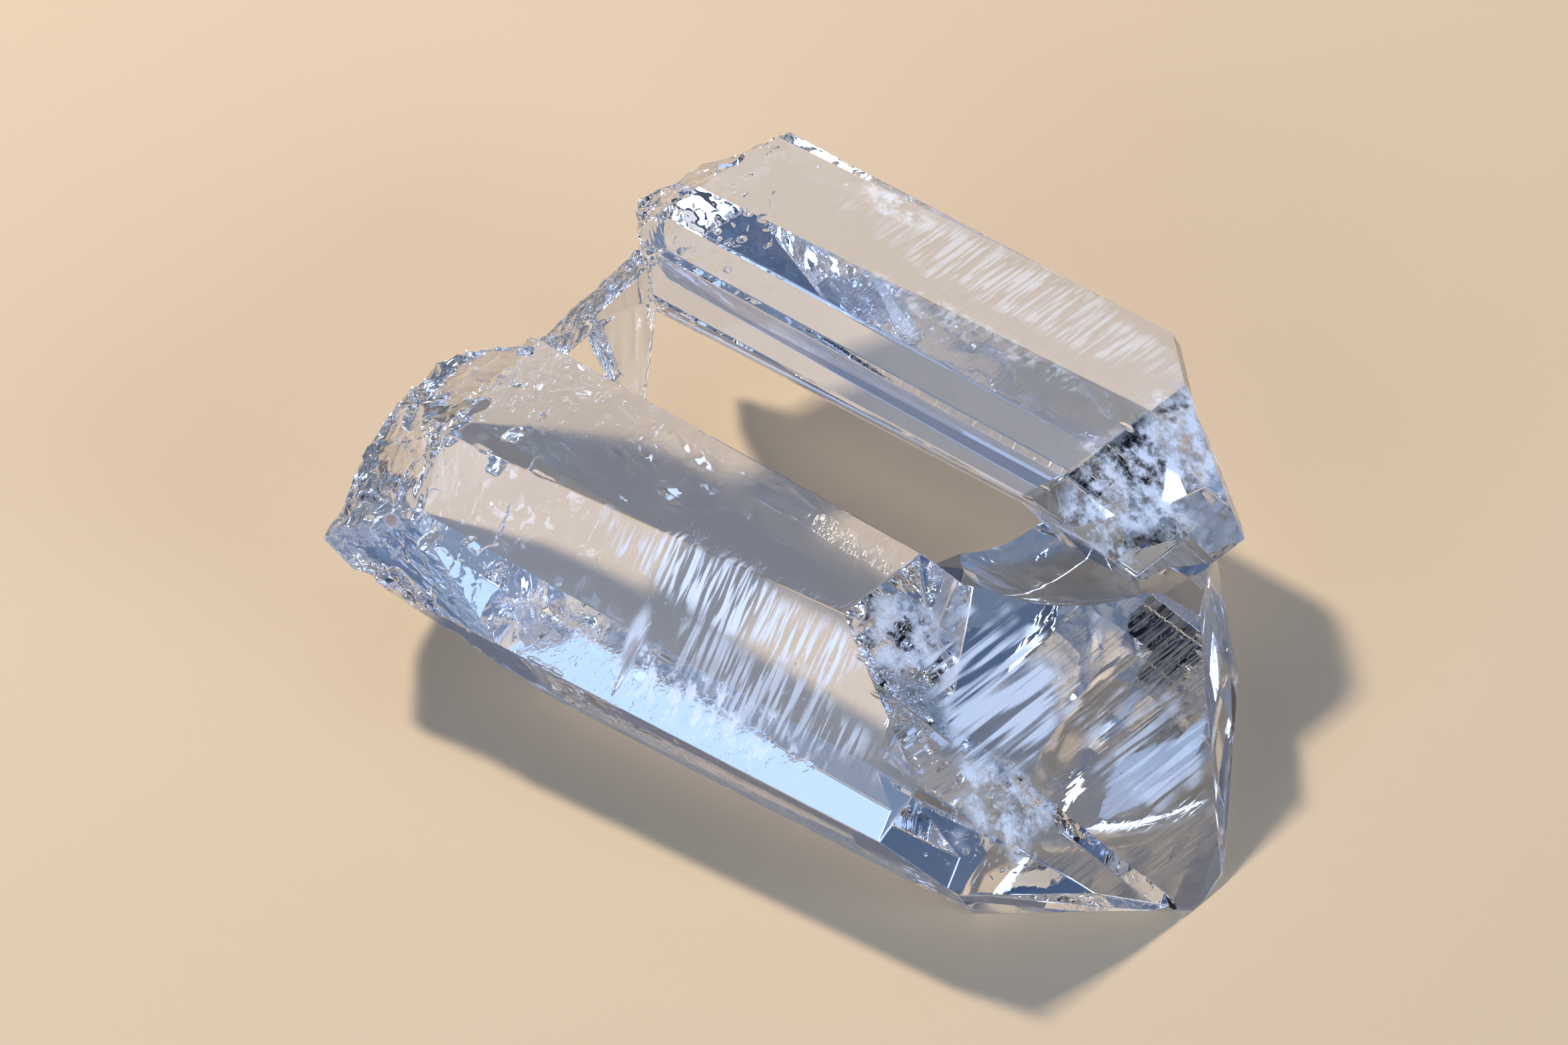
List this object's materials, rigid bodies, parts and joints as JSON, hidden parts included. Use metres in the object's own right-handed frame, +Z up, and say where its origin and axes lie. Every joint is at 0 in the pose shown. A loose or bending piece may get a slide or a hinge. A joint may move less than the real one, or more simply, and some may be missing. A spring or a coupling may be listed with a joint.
{
  "type": "quartz crystal specimen",
  "caption": "Clear rock crystal specimen: parallel prisms with natural tips, fused near the points, with broken bases and a window between.",
  "frame": {"origin": "middle of the specimen's bounding box, at the level of the surface it lies on", "axes": "+X along the crystals' c axis towards their tips, +Y from the front crystal to the back one, +Z up"},
  "size_m": [0.0448, 0.0334, 0.0107],
  "materials": {
    "quartz_crystal": "clear polished natural faces, frosted where broken"
  },
  "bodies": {
    "root": {"quartz_crystal": "quartz_crystal"}
  },
  "joints": []
}
